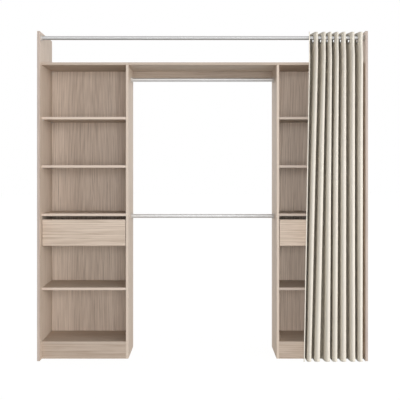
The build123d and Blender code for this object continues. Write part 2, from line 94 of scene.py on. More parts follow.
# %% Camera
eye_distance = 6.2595
eye_height = 1.1855
camera_data = bpy.data.cameras.new("camera")
camera_data.lens = 87.4
camera_data.sensor_width = 36
camera_data.shift_x = -0.00625
camera_data.shift_y = -0.0745
camera = bpy.data.objects.new("camera", camera_data)
camera.location = (0, -eye_distance, eye_height)
camera.rotation_euler = (radians(90), 0, 0)
bpy.context.collection.objects.link(camera)
bpy.context.scene.camera = camera
bpy.context.scene.view_settings.view_transform = "Standard"
print("camera at", tuple(camera.location))

# %% [markdown]
# ## Helpers for materials
#
# Colours are written as the hex values that a colour picker shows, and one function turns them into
# the linear values that a shader works with. A second function adds a node with its settings and
# links, so that each material reads as a short list of steps. A third lays the tones of a pattern over
# one another, as a printer lays ink on ink. The last two start a material and give it to a piece.

# %% Colour and node helpers


def tone(code):
    """Linear RGBA from an sRGB hex colour."""
    parts = [int(code[n : n + 2], 16) / 255 for n in (0, 2, 4)]
    return [c / 12.92 if c <= 0.04045 else ((c + 0.055) / 1.055) ** 2.4 for c in parts] + [1]


def add_node(material, kind, inputs=None, **settings):
    """Adds a node. An input is a plain value, or another node's output socket to link."""
    tree = material.node_tree
    node = tree.nodes.new(kind)
    for name, value in settings.items():
        setattr(node, name, value)
    for name, value in (inputs or {}).items():
        if isinstance(value, bpy.types.NodeSocket):
            tree.links.new(value, node.inputs[name])
        else:
            node.inputs[name].default_value = value
    return node


def laid_over(material, ground, *layers):
    """The ground tone with layers over it. A layer is its share and its tone, a hex code or a socket."""
    colour = tone(ground)
    for share, top in layers:
        inputs = {0: share, 6: colour, 7: tone(top) if isinstance(top, str) else top}
        colour = add_node(material, "ShaderNodeMix", inputs, data_type="RGBA").outputs[2]
    return colour


def new_surface(name):
    """A material with its principled shader, and the shader itself."""
    material = bpy.data.materials.new(name)
    material.use_nodes = True
    return material, material.node_tree.nodes["Principled BSDF"]


def cover(material, *names):
    """Gives carried pieces of the construction their finish."""
    for name in names:
        slots = nodes[name].data.materials
        slots.clear()
        slots.append(material)


print("half grey is", [round(c, 3) for c in tone("808080")], "in linear values")

# %% [markdown]
# ## Studio
#
# A catalogue picture has no visible room: the backdrop is pure white and the floor melts into it. The
# world is white only where the camera, a mirror reflection or glass sees it, and dimmer as a light, so
# the wardrobe isn't washed out. The floor is matt white paint. For the camera it mostly shines by itself,
# so it keeps only a soft shadow.

# %% World
world = bpy.data.worlds.new("studio")
bpy.context.scene.world = world
world.use_nodes = True
room_light = world.node_tree.nodes["Background"]
room_light.inputs["Color"].default_value = tone("FFFFFF")
room_light.inputs["Strength"].default_value = 0.5
backdrop = add_node(world, "ShaderNodeBackground", {"Color": tone("FFFFFF"), "Strength": 1.0})
ray = add_node(world, "ShaderNodeLightPath").outputs
seen = ray["Is Camera Ray"]
for kind in ("Is Glossy Ray", "Is Transmission Ray"):
    seen = add_node(world, "ShaderNodeMath", {0: seen, 1: ray[kind]}, operation="MAXIMUM").outputs[0]
parts = {0: seen, 1: room_light.outputs[0], 2: backdrop.outputs[0]}
sky = add_node(world, "ShaderNodeMixShader", parts)
world.node_tree.links.new(sky.outputs[0], world.node_tree.nodes["World Output"].inputs["Surface"])
print("world", world.name, "as a light", room_light.inputs["Strength"].default_value)

# %% Floor
floor_paint, floor_shader = new_surface("pale_studio_floor")
floor_shader.inputs["Base Color"].default_value = tone("F2F2F0")
floor_shader.inputs["Roughness"].default_value = 0.9
glow = add_node(floor_paint, "ShaderNodeEmission", {"Color": tone("FFFFFF"), "Strength": 1.06})
ray = add_node(floor_paint, "ShaderNodeLightPath").outputs
# For the camera, nine tenths of the floor are its own glow.
glow_share = {0: ray["Is Camera Ray"], 1: 0.9}
glow_share = add_node(floor_paint, "ShaderNodeMath", glow_share, operation="MULTIPLY").outputs[0]
parts = {0: glow_share, 1: floor_shader.outputs[0], 2: glow.outputs[0]}
floor_mix = add_node(floor_paint, "ShaderNodeMixShader", parts)
floor_output = floor_paint.node_tree.nodes["Material Output"]
floor_paint.node_tree.links.new(floor_mix.outputs[0], floor_output.inputs["Surface"])

floor_reach = 40
corners = [(x * floor_reach, y * floor_reach, 0) for x, y in ((-1, -1), (1, -1), (1, 1), (-1, 1))]
floor_mesh = bpy.data.meshes.new("studio_floor")
floor_mesh.from_pydata(corners, [], [(0, 1, 2, 3)])
floor_mesh.materials.append(floor_paint)
floor = bpy.data.objects.new("studio_floor", floor_mesh)
bpy.context.collection.objects.link(floor)
print("floor", floor_reach * 2, "m wide")

# %% [markdown]
# ## Lamps
#
# The photograph's shading tells where its light comes from. Back panels are bright on their left and
# grow darker to the right, and the inner side of the left panel is bright at its front only. So a weak
# lamp stands behind the camera and a strong one far to the right, both low enough to leave the shelves'
# tops in shade. A third one, behind and to the left, lights the sides that the photograph doesn't show.
# The folds of the curtain are bright on their right and dark on their left, and yet the curtain throws
# no shadow on the boards beside it. A catalogue picture is often put together like that, and light
# linking does the same: three lamps serve the boards and pass the curtain, and one serves the curtain
# alone.

# %% Lamps
lamp_aim = Vector((0, 0, 1))


def soft_lamp(name, azimuth, distance, height, side, power):
    """A square area lamp that faces the wardrobe. Azimuth 0 stands before it, and 90 to its right."""
    data = bpy.data.lights.new(name, "AREA")
    data.size = side
    data.energy = power
    lamp = bpy.data.objects.new(name, data)
    turn = radians(azimuth)
    lamp.location = (distance * sin(turn), -distance * cos(turn), height)
    lamp.rotation_euler = (lamp_aim - lamp.location).to_track_quat("-Z", "Y").to_euler()
    bpy.context.collection.objects.link(lamp)
    return lamp


front_lamp = soft_lamp("front_lamp", azimuth=2, distance=12, height=0.9, side=4.5, power=490)
right_lamp = soft_lamp("right_lamp", azimuth=53, distance=20, height=1.0, side=8.3, power=3150)
rear_lamp = soft_lamp("rear_lamp", azimuth=-114, distance=20, height=1.2, side=8.3, power=1150)
cloth_lamp = soft_lamp("cloth_lamp", azimuth=59, distance=5.8, height=0.75, side=1.4, power=168)


def split_light(*cloth_pieces):
    """The cloth lamp lights only these pieces, and the board lamps pass them."""
    lit = bpy.data.collections.new("lit_by_cloth_lamp")
    passed = bpy.data.collections.new("passed_by_board_lamps")
    for piece in cloth_pieces:
        lit.objects.link(piece)
        passed.objects.link(piece)
    for member in passed.collection_objects:
        member.light_linking.link_state = "EXCLUDE"
    cloth_lamp.light_linking.receiver_collection = lit
    for lamp in (front_lamp, right_lamp, rear_lamp):
        lamp.light_linking.receiver_collection = passed
        lamp.light_linking.blocker_collection = passed


print("lamps", [lamp.name for lamp in (front_lamp, right_lamp, rear_lamp, cloth_lamp)])

# %% [markdown]
# ## Printed oak board
#
# The boards are particle board under a melamine film with an oak print, pressed with a faint grain
# texture. The film gives the eye a matt, even sheen without the depth of real wood. Its IOR of 1.5 is
# where a new material starts, so it isn't set. The print is four layers, all drawn out along the grain:
# slow bands of lighter and darker wood, growth rings that run up to long pointed arches, fibre streaks,
# and short dark pores. A picture of oak could be laid on instead, but a pattern of nodes never repeats
# and each of its layers can be matched by itself. It is worked out in the object's own metres, so its
# scale is real, and each board starts from another spot of it.

# %% Layers of the print
band_width = 90 * mm
ring_spacing = 13 * mm
# Real fibres are half a millimetre apart. They are drawn 8 mm apart, and the pores 6 mm, which is what a
# picture can show.
fibre_width = 8 * mm
pore_width = 6 * mm
# At scale 1 the wave texture repeats every 0.314 m.
wave_repeat = 0.314
# Every board has a chance number of its own, from 0 to 1. These are the farthest moves, in metres, that it
# gives to the board's streaks and to the heart of its rings.
streaks_shift = (3.1, 5.7, 2.3)
heart_shift = (0.06, 0.06, 0.4)


def streaks(material, spot, drawn_out, width, detail, marks, share):
    """Noise drawn out along one axis, nought under the first mark and at its full share over the second.

    The width is that of one light and one dark streak.
    """
    place = add_node(material, "ShaderNodeMapping", {"Vector": spot, "Scale": drawn_out}).outputs[0]
    settings = {"Vector": place, "Scale": 1 / width, "Detail": detail, "Roughness": 0.6}
    strength = add_node(material, "ShaderNodeTexNoise", settings).outputs["Fac"]
    limits = {"Value": strength, "From Min": marks[0], "From Max": marks[1], "To Max": share}
    return add_node(material, "ShaderNodeMapRange", limits).outputs[0]


def growth_rings(material, place, chance, heart, axis_shares, darkness):
    """Lines of growth rings round a heart, which lies in the right column and is mirrored in the left."""
    axes = add_node(material, "ShaderNodeSeparateXYZ", {0: place}).outputs
    mirrored = add_node(material, "ShaderNodeMath", {0: axes["X"]}, operation="ABSOLUTE").outputs[0]
    column = {"X": mirrored, "Y": axes["Y"], "Z": axes["Z"]}
    column = add_node(material, "ShaderNodeCombineXYZ", column).outputs[0]
    own_shift = {0: heart_shift, "Scale": chance}
    own_shift = add_node(material, "ShaderNodeVectorMath", own_shift, operation="SCALE").outputs[0]
    shifted = {0: column, 1: own_shift}
    shifted = add_node(material, "ShaderNodeVectorMath", shifted, operation="ADD").outputs[0]
    from_heart = [-h * s for h, s in zip(heart, axis_shares)]
    place = {"Vector": shifted, "Location": from_heart, "Scale": axis_shares}
    place = add_node(material, "ShaderNodeMapping", place).outputs[0]
    shape = {"Scale": wave_repeat / ring_spacing, "Distortion": 4.0, "Detail": 3.0, "Detail Scale": 0.6}
    kind = {"wave_type": "RINGS", "rings_direction": "SPHERICAL"}
    rings = add_node(material, "ShaderNodeTexWave", {"Vector": place, **shape}, **kind).outputs["Fac"]
    limits = {"Value": rings, "From Min": 0.4, "From Max": 1.0, "To Max": darkness}
    return add_node(material, "ShaderNodeMapRange", limits).outputs[0]


print("growth rings", round(ring_spacing / mm, 1), "mm apart, bands", round(band_width / mm, 1), "mm wide")

# %% Printed oak
# A face belongs to the front edge where the Y of its direction is under this.
looks_forward = -0.6


def printed_oak(name, grain, cut, face, dark, pore, edge=None):
    """Oak-print melamine with its grain along X or Z, and a front edge band of another tone."""
    material, shader = new_surface(name)
    drawn_out = {"X": (0.03, 1, 1), "Z": (1, 1, 0.03)}[grain]
    place = add_node(material, "ShaderNodeTexCoord").outputs
    chance = add_node(material, "ShaderNodeObjectInfo").outputs["Random"]
    shift = {0: streaks_shift, "Scale": chance}
    shift = add_node(material, "ShaderNodeVectorMath", shift, operation="SCALE").outputs[0]
    spot = {0: place["Object"], 1: shift}
    spot = add_node(material, "ShaderNodeVectorMath", spot, operation="ADD").outputs[0]

    bands = streaks(material, spot, drawn_out, band_width, 1.0, (0.35, 0.65), 0.16)
    rings = growth_rings(material, place["Object"], chance, *cut)
    fibres = streaks(material, spot, drawn_out, fibre_width, 4.0, (0.4, 0.62), 0.42)
    pores = streaks(material, spot, drawn_out, pore_width, 2.0, (0.56, 0.72), 0.5)
    figure = add_node(material, "ShaderNodeMath", {0: bands, 1: rings}, operation="ADD").outputs[0]
    figure = {0: figure, 1: fibres}
    figure = add_node(material, "ShaderNodeMath", figure, operation="ADD", use_clamp=True).outputs[0]
    layers = [(figure, dark), (pores, pore)]
    if edge:
        # The edge band is a separate strip, glued to the board's front edge, so it has another tone.
        facing = add_node(material, "ShaderNodeSeparateXYZ", {0: place["Normal"]}).outputs["Y"]
        to_front = {0: facing, 1: looks_forward}
        to_front = add_node(material, "ShaderNodeMath", to_front, operation="LESS_THAN").outputs[0]
        layers.append((to_front, laid_over(material, edge, (fibres, face))))
    wood = laid_over(material, face, *layers)
    material.node_tree.links.new(wood, shader.inputs["Base Color"])
    shader.inputs["Roughness"].default_value = 0.5
    relief = add_node(material, "ShaderNodeBump", {"Height": pores, "Distance": 0.4 * mm, "Strength": 0.5})
    material.node_tree.links.new(relief.outputs[0], shader.inputs["Normal"])
    return material


# %% [markdown]
# ## The oak boards
#
# A printed film is cut like veneer: it runs upright on panels and backs and lengthways on shelves and
# drawer fronts. A cut says where the growth rings have their heart, in metres, what share of each axis
# they follow, and how dark their lines are. Where the share is small, the rings are drawn out into long
# arches. The print comes in tones that differ a little from board to board, as the photograph shows them.
# The shelves of the right column take a darker copy of the shelf print, which is painted shade.

# %% Oak boards
column_centre = (middle("right_back_panel").x - middle("left_back_panel").x) / 2
across_panel = ((column_centre, 0.1, -0.9), (0.3, 1, 0.05), 0.12)
across_back = ((column_centre + 0.04, rear, -0.9), (1, 0.3, 0.05), 0.2)
along_shelf = ((column_centre, -0.05, 1.0), (0.05, 1, 0.1), 0.12)
along_front = ((column_centre - 0.15, 0.0, 0.83), (0.05, 0.3, 1), 0.28)
standing_oak = printed_oak("oak_print_upright", "Z", across_panel, "D4C4B4", "AA9685", "937E6C", "C9B9AA")
panel_oak = printed_oak("oak_print_side_panel", "Z", across_panel, "D8C7B7", "AE9A88", "978270", "AFA098")
back_oak = printed_oak("oak_print_back", "Z", across_back, "E5D4C4", "B6A190", "9C8774")
lying_oak = printed_oak("oak_print_shelf", "X", along_shelf, "CBBBAB", "A4907E", "8D7765", "CEBDAF")
# A darker copy of the shelf print: painted shade on the right column's shelves, beside the curtain.
painted_shade_shelf_oak = printed_oak("oak_print_painted_shade_shelf", "X", along_shelf, "B0A294", "8E7D6D", "7A6757", "B6A79B")
frame_oak = printed_oak("oak_print_framing_shelf", "X", along_shelf, "CBBBAB", "A4907E", "8D7765", "B1A193")
drawer_oak = printed_oak("oak_print_drawer_front", "X", along_front, "D2C1B1", "AA9684", "927D6B")
plinth_oak = printed_oak("oak_print_plinth", "X", along_front, "C2B2A3", "9E8A79", "887361")

sides = ("left", "right")
shelves = ("upper", "middle", "drawer", "lower")
cover(standing_oak, *[f"{s}_upright" for s in sides])
cover(panel_oak, *[f"{s}_side_panel" for s in sides])
cover(back_oak, *[f"{s}_back_panel" for s in sides])
cover(lying_oak, *[f"left_{n}_shelf" for n in shelves])
# The right column's shelves get the darker copy, which paints shade on them.
cover(painted_shade_shelf_oak, *[f"right_{n}_shelf" for n in shelves])
cover(frame_oak, "top_shelf", *[f"{s}_bottom_shelf" for s in sides])
cover(drawer_oak, *[f"{s}_drawer_front" for s in sides])
cover(plinth_oak, "back_rail", *[f"{s}_plinth" for s in sides])
finishes = [node.active_material.name for node in nodes.values() if node.active_material]
print("oak on", sum("oak" in finish for finish in finishes), "boards")

# %% [markdown]
# ## Drawer boxes, metal and plastic
#
# The boards inside a drawer are thinner and wrapped in a plain greige foil. Its tone is partly painted
# shade: it is kept dark for the gap over each drawer front. The rods are steel tube under a silver
# lacquer. Its fine metal flakes give a soft metal shine, lighter above and darker below. The runners are
# sheet steel under baked paint, with a plainer, whiter shine. Sockets are moulded plastic, rollers are
# nylon, dowels are turned beech, and the fittings are zinc or plated steel.
#
# None of these is quite even: foil and paint have a faint mottle, moulded plastic a fine grit, plating a
# slight cloud. One function gives all of them, with the size of the mottle, the shine and the relief of
# each. Real mottle is a few tenths of a millimetre. It is drawn in millimetres, so that it shows. The IOR
# stays at 1.5, which suits foil, paint and plastic, and metals keep it too.

# %% A mottled finish
usual_relief = 0.05 * mm
rod_relief = 0.01 * mm


def mottled(name, base, spot_tone, grain_size, roughness, metallic=0.0, relief=usual_relief):
    """A finish with a fine even mottle in its tone and in its surface."""
    material, shader = new_surface(name)
    place = add_node(material, "ShaderNodeTexCoord").outputs["Object"]
    settings = {"Vector": place, "Scale": 0.5 / grain_size, "Detail": 2.0}
    speckle = add_node(material, "ShaderNodeTexNoise", settings).outputs["Fac"]
    limits = {"Value": speckle, "From Min": 0.35, "From Max": 0.65}
    share = add_node(material, "ShaderNodeMapRange", limits).outputs[0]
    colour = laid_over(material, base, (share, spot_tone))
    material.node_tree.links.new(colour, shader.inputs["Base Color"])
    shader.inputs["Roughness"].default_value = roughness
    shader.inputs["Metallic"].default_value = metallic
    surface = {"Height": speckle, "Distance": relief, "Strength": 0.6}
    bump = add_node(material, "ShaderNodeBump", surface)
    material.node_tree.links.new(bump.outputs[0], shader.inputs["Normal"])
    return material


# %% Plain finishes
# Foil and hardboard: matt, with slightly darker spots.
# The foil's tone is partly painted shade: it is kept dark for the gap over each drawer front.
drawer_wrap_and_painted_shade = mottled("painted_shade_foil_on_drawer_board", "B4A696", "AB9C8C", 6 * mm, 0.55)
hardboard = mottled("white_hardboard_drawer_bottom", "DDD9CF", "D2CDC1", 4 * mm, 0.6)
# Silver lacquer: metal flakes spread the light, so the tube has a wide highlight and no mirror image.
rod_lacquer = mottled("silver_lacquer_on_steel_tube", "D7D7D7", "D2D2D2", 3 * mm, 0.58, 1.0, rod_relief)
dark_tones = ("C4C4C4", "BFBFBF")
dark_lacquer = mottled("dark_silver_lacquer_on_steel_tube", *dark_tones, 3 * mm, 0.58, 1.0, rod_relief)
# Baked paint and moulded plastics: half matt, with a soft white highlight.
runner_paint = mottled("baked_paint_on_sheet_steel", "E4E4E1", "DDDDDA", 3 * mm, 0.42)
socket_plastic = mottled("moulded_grey_plastic", "C4BEB8", "BCB6B0", 2 * mm, 0.45)
nylon = mottled("moulded_nylon", "E6E4DC", "DEDCD3", 2 * mm, 0.5)
# Plating mirrors its surroundings a little blurred, and cast zinc more so.
plated_steel = mottled("nickel_plated_steel", "C9C8C5", "BDBCB8", 1.5 * mm, 0.3, metallic=1.0)
cast_zinc = mottled("cast_zinc", "B9BABB", "A9AAAB", 1.5 * mm, 0.42, metallic=1.0)
# Turned beech: bare pale wood, matt and warm.
beech = mottled("turned_beech", "D3B48D", "C29F76", 2 * mm, 0.6)

for s in sides:
    cover(drawer_wrap_and_painted_shade, *[f"{s}_drawer_{n}" for n in ("left_side", "right_side", "back")])
    cover(hardboard, f"{s}_drawer_bottom")
    cover(runner_paint, f"{s}_cabinet_runners", f"{s}_drawer_runners")
    cover(nylon, f"{s}_cabinet_rollers", f"{s}_drawer_rollers")
    cover(plated_steel, f"{s}_drawer_screws")
cover(rod_lacquer, "upper_hanging_rod", "lower_hanging_rod")
cover(dark_lacquer, "curtain_rod")
cover(cast_zinc, "cams", "cam_bolts")
cover(beech, "dowels")
print("materials so far", len(bpy.data.materials))

# %% [markdown]
# ## Turned pieces
#
# Sockets, eyelets and shelf pins are all round about one axis. A lathe makes such a piece from one
# outline, and so does this helper: it takes the outline's points as places along the axis and radii,
# sweeps them round, and sets copies of the result where they belong. All copies of a group become one
# piece, as a hand would sort them.

# %% A lathe
# Edges that turn by more than this stay sharp, and the others are shaded round.
crease = radians(35)


def turned_blank(name, outline, closed, steps):
    """The mesh of one turned piece about the X axis. The outline holds (along, radius) points."""
    blank = bmesh.new()
    angles = [2 * pi * n / steps for n in range(steps)]
    rings = []
    for along, radius in outline:
        if radius == 0:
            rings.append([blank.verts.new((along, 0, 0))] * steps)
        else:
            rings.append([blank.verts.new((along, radius * cos(a), radius * sin(a))) for a in angles])
    pairs = list(zip(rings, rings[1:])) + ([(rings[-1], rings[0])] if closed else [])
    for first, second in pairs:
        for n in range(steps):
            m = (n + 1) % steps
            corners = list(dict.fromkeys((first[n], first[m], second[m], second[n])))
            blank.faces.new(corners)
    bmesh.ops.recalc_face_normals(blank, faces=blank.faces)
    mesh = bpy.data.meshes.new(name + "_blank")
    blank.to_mesh(mesh)
    blank.free()
    return mesh


def turned_group(name, outline, places, material, body, closed=False, steps=48):
    """One piece with a turned copy at each place."""
    blank = turned_blank(name, outline, closed, steps)
    group = bmesh.new()
    for place in places:
        start = len(group.verts)
        group.from_mesh(blank)
        group.verts.ensure_lookup_table()
        bmesh.ops.transform(group, matrix=place, verts=group.verts[start:])
    mesh = bpy.data.meshes.new(name)
    group.to_mesh(mesh)
    group.free()
    mesh.shade_smooth()
    mesh.materials.append(material)
    piece = bpy.data.objects.new(name, mesh)
    bpy.context.collection.objects.link(piece)
    chosen = {"object": piece, "active_object": piece, "selected_editable_objects": [piece]}
    with bpy.context.temp_override(**chosen):
        bpy.ops.object.shade_smooth_by_angle(angle=crease)
    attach(piece, body)
    print(name, len(places), "copies", len(mesh.polygons), "faces")
    return piece


def facing_x(x, y, z, way):
    """A place whose X axis looks right (way 1) or left (way -1)."""
    return Matrix.Translation((x, y, z)) @ Matrix.Rotation(0 if way == 1 else pi, 4, "Z")


# %% [markdown]
# ## Rod sockets
#
# A rod ends in a cup: a round flange against the board and a short collar that holds the tube. The
# real one is moulded, so its rims are rounded, and a small fillet joins the collar to the flange.

# %% Sockets
flange_radius = 21 * mm
flange_front = 3 * mm
collar_radius = 15.8 * mm
cup_length = 13 * mm
# The construction's tube has flat facets, and its box is a trifle smaller than the round tube.
tube_radius = 12.5 * mm
cup_bore = tube_radius + 0.3 * mm
socket_outline = [
    (0, 0),
    (0, flange_radius - 0.4 * mm),
    (0.4 * mm, flange_radius),
    (flange_front - 0.8 * mm, flange_radius),
    (flange_front, flange_radius - 0.8 * mm),
    (flange_front + 0.1 * mm, collar_radius + 1.6 * mm),
    (flange_front + 0.5 * mm, collar_radius + 0.6 * mm),
    (flange_front + 1.4 * mm, collar_radius + 0.1 * mm),
    (cup_length - 0.8 * mm, collar_radius),
    (cup_length - 0.2 * mm, collar_radius - 0.3 * mm),
    (cup_length, collar_radius - 1 * mm),
    (cup_length, cup_bore + 0.8 * mm),
    (cup_length - 0.4 * mm, cup_bore + 0.05 * mm),
    (flange_front, cup_bore),
    (flange_front, 0),
]
for rod in ("curtain_rod", "upper_hanging_rod", "lower_hanging_rod"):
    axis = middle(rod)
    seat_low, seat_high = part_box(rod + "_sockets")
    ends = [facing_x(seat_low.x, axis.y, axis.z, 1), facing_x(seat_high.x, axis.y, axis.z, -1)]
    name = rod + "_end_cups"
    piece = turned_group(name, socket_outline, ends, socket_plastic, "cabinet")
    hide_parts(rod + "_sockets")

# %% [markdown]
# ## Shelf pins
#
# Each loose shelf lies on four plated pins. Half of a pin is in the board beside the shelf, half is under
# the shelf, and both of its ends are rounded, the one under the shelf a little more.

# %% Shelf pins
pin_radius = 2.5 * mm
pin_half = 8 * mm
pin_inset = 45 * mm
pin_outline = [
    (-pin_half, 0),
    (-pin_half, pin_radius - 0.4 * mm),
    (-pin_half + 0.4 * mm, pin_radius),
    (0, pin_radius),
    (pin_half - 0.8 * mm, pin_radius),
    (pin_half - 0.2 * mm, pin_radius - 0.4 * mm),
    (pin_half, pin_radius - 1.1 * mm),
    (pin_half, 0),
]
pin_places = []
for s, way in zip(sides, (-1, 1)):
    for name in ("upper", "middle", "lower"):
        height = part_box(f"{s}_{name}_shelf")[0].z - pin_radius
        for y in (shelf_front + pin_inset, rear - pin_inset):
            pin_places.append(facing_x(way * inner_face, y, height, -way))
            pin_places.append(facing_x(way * upright_face, y, height, way))
pins = turned_group(
    "shelf_pin_set", pin_outline, pin_places, plated_steel, "cabinet", steps=16
)
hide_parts("shelf_pins")

# %% [markdown]
# ## The curtain's folds
#
# A curtain pushed aside stands in deep narrow folds. Seen from above, the cloth goes round a small
# circle at each crest and at each valley, with a straight leg between two circles. Circles and tangents
# therefore give the fold a cloth really takes, and every height has its own set, because the folds hang
# straight under the rod and fan out and lean towards the hem. Simulated cloth would give folds too, but
# not these ones: here each crest stands where the photograph shows it.

# %% The stack of folds
cloth = 1.2 * mm
fold_depth = 105 * mm
header_under_rod = 39 * mm
bend_over_shelf = 21 * mm
gap_before_boards = 6 * mm
header_bottom = curtain_rod.z - header_under_rod
bend_level = shelf_high.z + bend_over_shelf
header_tip = curtain_rod.y - fold_depth / 2
bend_tip = shelf_front - gap_before_boards - fold_depth
hem_tip = curtain_low.y

# The gap between the side panel and the last crest, the stack's width, and where the crests stand in it.
gap_at_top = 33 * mm
gap_at_hem = 36 * mm
width_at_top = 322 * mm
width_at_hem = 354 * mm
crest_shares_at_top = (0, 0.143, 0.294, 0.413, 0.542, 0.677, 0.842, 1)
crest_shares_at_hem = (0, 0.107, 0.248, 0.426, 0.557, 0.708, 0.870, 1)
folds = len(crest_shares_at_top) - 1
wander = 0.4 * mm


def eased(share):
    """A share that starts and ends softly."""
    share = min(1, max(0, share))
    return share * share * (3 - 2 * share)


def fall_at(height):
    """How far a height is down from the header to the hem, from 0 to 1."""
    return max(0, header_bottom - height) / (header_bottom - curtain_low.z)


def bend_at(height):
    """How far a height is down from the header to the bend over the top shelf, eased."""
    return eased((header_bottom - height) / (header_bottom - bend_level))


def front_tip(height):
    """The Y of the crests' front: half a fold before the rod at the header, then clear of the boards."""
    if height > bend_level:
        return header_tip + (bend_tip - header_tip) * bend_at(height)
    return bend_tip + (hem_tip - bend_tip) * (bend_level - height) / (bend_level - curtain_low.z)


def crest_places(height):
    """The X of the leading hem and of each crest. Between header and hem the crests wander a little."""
    fall = fall_at(height)
    right = inner_face - (gap_at_top + (gap_at_hem - gap_at_top) * fall)
    width = width_at_top + (width_at_hem - width_at_top) * fall
    places = []
    for n, (top, hem) in enumerate(zip(crest_shares_at_top, crest_shares_at_hem)):
        place = right - width + width * (top + (hem - top) * fall)
        if 0 < n < folds:
            # Each crest has another phase, so that no two of them wander together.
            phase = 2.3 * n + 5.5 * fall
            place += wander * sin(pi * fall) * sin(phase)
        places.append(place)
    return places


print("crests at the hem", [round(x, 3) for x in crest_places(curtain_low.z)])

# %% [markdown]
# ## One fold line
#
# The radius of a crest or a valley is a share of the room between its neighbours. The folds are pressed
# at the header, where the eyelets hold them, and loosen on the way down, so the shares grow. A crest that
# is still tight stands a little further right, so that the right edge that the eye sees keeps its place.

# %% Circles
crest_share = 0.28
header_crest_share = 0.2
valley_share = 0.17
header_valley_share = 0.08
# The crests are loose after this share of the fall.
loose_fall_share = 0.4
# The leading hem is turned in a small circle, a little inside the stack.
hem_turn = 5 * mm
hem_set_in = 4 * mm


def fold_circles(height, depth):
    """The circles that the cloth goes round, as (x, y, radius, side). Crests have side 1, valleys -1."""
    crests = crest_places(height)
    valleys = [(a + b) / 2 for a, b in zip(crests, crests[1:])]
    tip = front_tip(height)
    valley_part = header_valley_share + (valley_share - header_valley_share) * bend_at(height)
    loosened = eased(fall_at(height) / loose_fall_share)
    crest_part = header_crest_share + (crest_share - header_crest_share) * loosened
    circles = []
    for n, crest in enumerate(crests):
        if n == 0:
            radius = hem_turn
            crest += hem_set_in
        else:
            right = valleys[n] if n < folds else 2 * crest - valleys[n - 1]
            radius = crest_part * (right - valleys[n - 1])
            crest += (crest_share - crest_part) * (right - valleys[n - 1])
        circles.append((crest, tip + cloth / 2 + radius, radius, 1))
        if n < folds:
            radius = valley_part * (crests[n + 1] - crest)
            circles.append((valleys[n], tip + depth - cloth / 2 - radius, radius, -1))
    return circles


def leg_angle(a, b):
    """The direction of the straight leg from one circle to the next, a line that touches both."""
    lean = asin((a[3] * a[2] - b[3] * b[2]) / dist(a[:2], b[:2]))
    return atan2(b[1] - a[1], b[0] - a[0]) + lean


print("circles in a fold line", len(fold_circles(curtain_low.z, fold_depth)))

# %% The line through the circles
turn_steps = 9
leg_steps = 12
# Where the cloth starts on its first circle and ends on its last one, as directions in plan.
leading_end = radians(-100)
last_end = radians(-5)


def fold_line(height, depth):
    """Points of the cloth's middle line in plan, from the leading hem to the last one."""
    circles = fold_circles(height, depth)
    legs = [leg_angle(a, b) for a, b in zip(circles, circles[1:])]
    starts = [leading_end] + [leg - c[3] * pi / 2 for leg, c in zip(legs, circles[1:])]
    ends = [leg - c[3] * pi / 2 for leg, c in zip(legs, circles)] + [last_end]
    line = []
    for (x, y, radius, side), start, end in zip(circles, starts, ends):
        turn = [start + (end - start) * n / (turn_steps - 1) for n in range(turn_steps)]
        turn = [(x + radius * cos(a), y + radius * sin(a)) for a in turn]
        if line:
            (ax, ay), (bx, by) = line[-1], turn[0]
            shares = [n / leg_steps for n in range(1, leg_steps)]
            line += [(ax + (bx - ax) * t, ay + (by - ay) * t) for t in shares]
        line += turn
    return line


print("points in a fold line", len(fold_line(curtain_low.z, fold_depth)))

# %% [markdown]
# ## Keeping the cloth's width
#
# Cloth doesn't stretch, so its line is as long at each height as it is at the hem. Where the stack is
# narrower, the folds are deeper. A few rounds find that depth: each one shares what is missing among the
# legs, two to a fold.

# %% Fold depth at each height


def line_length(line):
    """The length of a line of points."""
    return sum(dist(a, b) for a, b in zip(line, line[1:]))


cloth_width = line_length(fold_line(curtain_low.z, fold_depth))
depth_rounds = 4


def kept_depth(height):
    """The fold depth at which the cloth is as wide at this height as at its hem."""
    depth = fold_depth
    for _ in range(depth_rounds):
        depth += (cloth_width - line_length(fold_line(height, depth))) / (2 * folds)
    return depth


header_depth = kept_depth(curtain_high.z)
header_line = fold_line(curtain_high.z, header_depth)
along_cloth = [0]
for a, b in zip(header_line, header_line[1:]):
    along_cloth.append(along_cloth[-1] + dist(a, b))
for height in (curtain_high.z, bend_level, curtain_low.z):
    print("fold depth at height", round(height, 3), "is", round(kept_depth(height) / mm, 1), "mm")
print("cloth", round(cloth_width, 3), "m wide, in", folds, "folds")

# %% [markdown]
# ## Where the eyelets sit
#
# The rod passes through every leg of the cloth once. There the header has a punched hole with a metal
# eyelet clamped round it, square to the leg. The eyelet hangs on the rod by the top of its bore.

# %% Eyelet places
eyelet_bore = 20 * mm
rod_gap = 0.3 * mm
eyelet_height = curtain_rod.z + rod_radius + rod_gap - eyelet_bore
header_circles = fold_circles(curtain_high.z, header_depth)
eyelet_places = []
for a, b in zip(header_circles, header_circles[1:]):
    angle = leg_angle(a, b)
    side_angle = angle - pi / 2
    start_x = a[0] + a[3] * a[2] * cos(side_angle)
    start_y = a[1] + a[3] * a[2] * sin(side_angle)
    x = start_x + (curtain_rod.y - start_y) * cos(angle) / sin(angle)
    eyelet_places.append((Vector((x, curtain_rod.y, eyelet_height)), side_angle))
print("eyelets", len(eyelet_places), "at height", round(eyelet_height, 4))

# %% [markdown]
# ## Sewing the sheet
#
# The sheet is a grid: one row of points for each height, close together in the header and at the hems,
# wider apart below. Each point keeps where it lies on the flat cloth, which the weave and the stitching
# use. A little slack, less than half a millimetre, takes the ruled look from the folds.

# %% Levels of the cloth
header_rows = 14
bend_rows = 8
fall_rows = 56
hem_rows = 6
bottom_hem = 60 * mm
hem_top = curtain_low.z + bottom_hem


